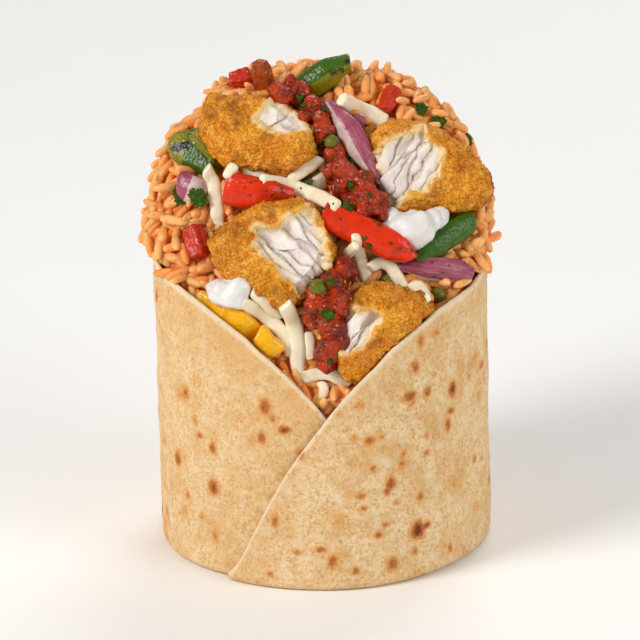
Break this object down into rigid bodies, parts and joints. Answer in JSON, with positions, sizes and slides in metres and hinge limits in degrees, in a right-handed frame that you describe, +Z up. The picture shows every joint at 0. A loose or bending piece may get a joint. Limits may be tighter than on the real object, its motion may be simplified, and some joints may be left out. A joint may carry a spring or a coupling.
{
  "type": "burrito",
  "caption": "Stuffed flour tortilla burrito standing on its tucked end, open at the top with rice, breaded fish, peppers, salsa, cheese and cream.",
  "frame": {"origin": "centre of the flat foot that the burrito stands on", "axes": "+Z up from the table, -Y to the front where the wrap's edges cross, +X right"},
  "size_m": [0.0877, 0.0867, 0.1223],
  "materials": {
    "cheese": "soft pale cheese shreds",
    "cream": "thick white soured cream",
    "fish": "golden breaded crust over white flaked fish",
    "olive": "green olive and caper",
    "onion": "moist red onion",
    "parsley": "chopped parsley leaf",
    "pepper_green": "glossy grilled green pepper",
    "pepper_red": "glossy red pepper",
    "pepper_yellow": "glossy yellow pepper",
    "rice": "cooked orange-tinted rice, softly moist",
    "salsa": "wet chunky tomato salsa",
    "tomato": "moist tomato dice",
    "tortilla": "soft matt flour tortilla with brown toast spots"
  },
  "bodies": {
    "root": {"cheese_1": "cheese", "cheese_10": "cheese", "cheese_11": "cheese", "cheese_12": "cheese", "cheese_13": "cheese", "cheese_14": "cheese", "cheese_15": "cheese", "cheese_16": "cheese", "cheese_17": "cheese", "cheese_2": "cheese", "cheese_3": "cheese", "cheese_4": "cheese", "cheese_5": "cheese", "cheese_6": "cheese", "cheese_7": "cheese", "cheese_8": "cheese", "cheese_9": "cheese", "cream_1": "cream", "cream_2": "cream", "fish_1": "fish", "fish_2": "fish", "fish_3": "fish", "fish_4": "fish", "olive_1": "olive", "olive_2": "olive", "olive_3": "olive", "olive_4": "olive", "onion_1": "onion", "onion_2": "onion", "onion_3": "onion", "onion_4": "onion", "parsley_1": "parsley", "parsley_2": "parsley", "parsley_3": "parsley", "parsley_4": "parsley", "parsley_5": "parsley", "parsley_6": "parsley", "pepper_green_1": "pepper_green", "pepper_green_2": "pepper_green", "pepper_green_3": "pepper_green", "pepper_red_1": "pepper_red", "pepper_red_2": "pepper_red", "pepper_yellow_1": "pepper_yellow", "pepper_yellow_2": "pepper_yellow", "rice": "rice", "salsa_1": "salsa", "salsa_2": "salsa", "salsa_3": "salsa", "tomato_1": "tomato", "tomato_2": "tomato", "tomato_3": "tomato", "tomato_4": "tomato", "tortilla": "tortilla"}
  },
  "joints": []
}
